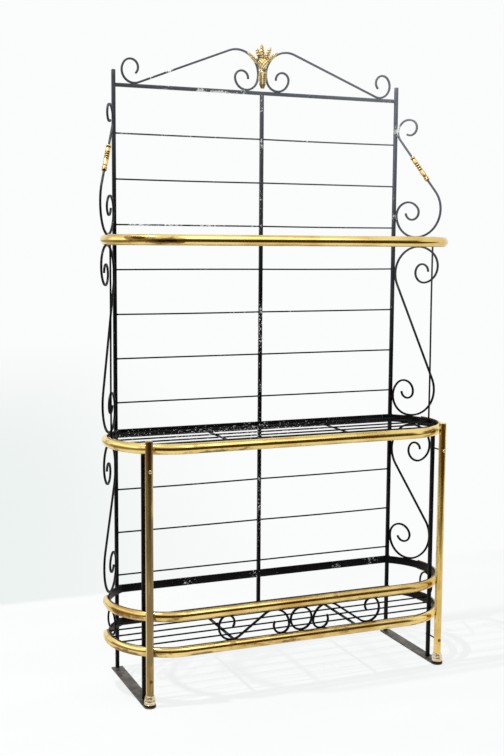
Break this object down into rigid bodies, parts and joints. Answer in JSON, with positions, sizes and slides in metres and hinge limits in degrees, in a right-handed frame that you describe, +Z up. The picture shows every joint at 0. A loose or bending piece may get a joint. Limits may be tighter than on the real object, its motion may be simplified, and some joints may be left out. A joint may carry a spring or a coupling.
{
  "type": "bakers rack",
  "caption": "Tall open wrought-iron shelving rack with round-ended wire shelves, brass rails, brass front legs, side scrolls, a low scroll gallery and a wheat-sheaf crest.",
  "frame": {"origin": "on the floor, at the centre of the object's footprint box", "axes": "+X to the object's right as seen from the front, +Y to the back, +Z up; the front faces -Y"},
  "size_m": [1.2806, 0.402, 2.1892],
  "materials": {
    "black_iron": "satin black paint on wrought iron, chipped and worn in places",
    "foot_iron": "worn grey-brown paint on flat bar",
    "brass": "polished, with a brown tarnish",
    "cast_brass": "cast and worn pale",
    "bolt_brass": "pale plated bolt heads"
  },
  "bodies": {
    "root": {"back_rods_left": "black_iron", "back_rods_right": "black_iron", "bottom_brass_rail": "brass", "bottom_cross_bars": "black_iron", "bottom_shelf_band": "black_iron", "bottom_shelf_rods": "black_iron", "brass_foot_left": "cast_brass", "brass_foot_right": "cast_brass", "brass_tube_left": "brass", "brass_tube_right": "brass", "centre_upright": "black_iron", "crest_scrolls": "black_iron", "foot_bar_left": "foot_iron", "foot_bar_right": "foot_iron", "front_post_left": "black_iron", "front_post_right": "black_iron", "gallery_band": "black_iron", "gallery_brass_rail": "brass", "gallery_end_curls": "black_iron", "gallery_ring": "black_iron", "gallery_scrolls": "black_iron", "lower_side_scrolls": "black_iron", "middle_brass_rail": "brass", "middle_cross_bars": "black_iron", "middle_shelf_band": "black_iron", "middle_shelf_rods": "black_iron", "middle_side_scrolls": "black_iron", "post_bolts": "bolt_brass", "post_nuts": "foot_iron", "rear_post_left": "black_iron", "rear_post_right": "black_iron", "side_strut_left": "black_iron", "side_strut_right": "black_iron", "spindle_left": "brass", "spindle_right": "brass", "top_bar": "black_iron", "top_brass_rail": "brass", "top_cross_bars": "black_iron", "top_shelf_band": "black_iron", "top_shelf_rods": "black_iron", "upper_side_scrolls": "black_iron", "wheat_sheaf": "brass"}
  },
  "joints": []
}
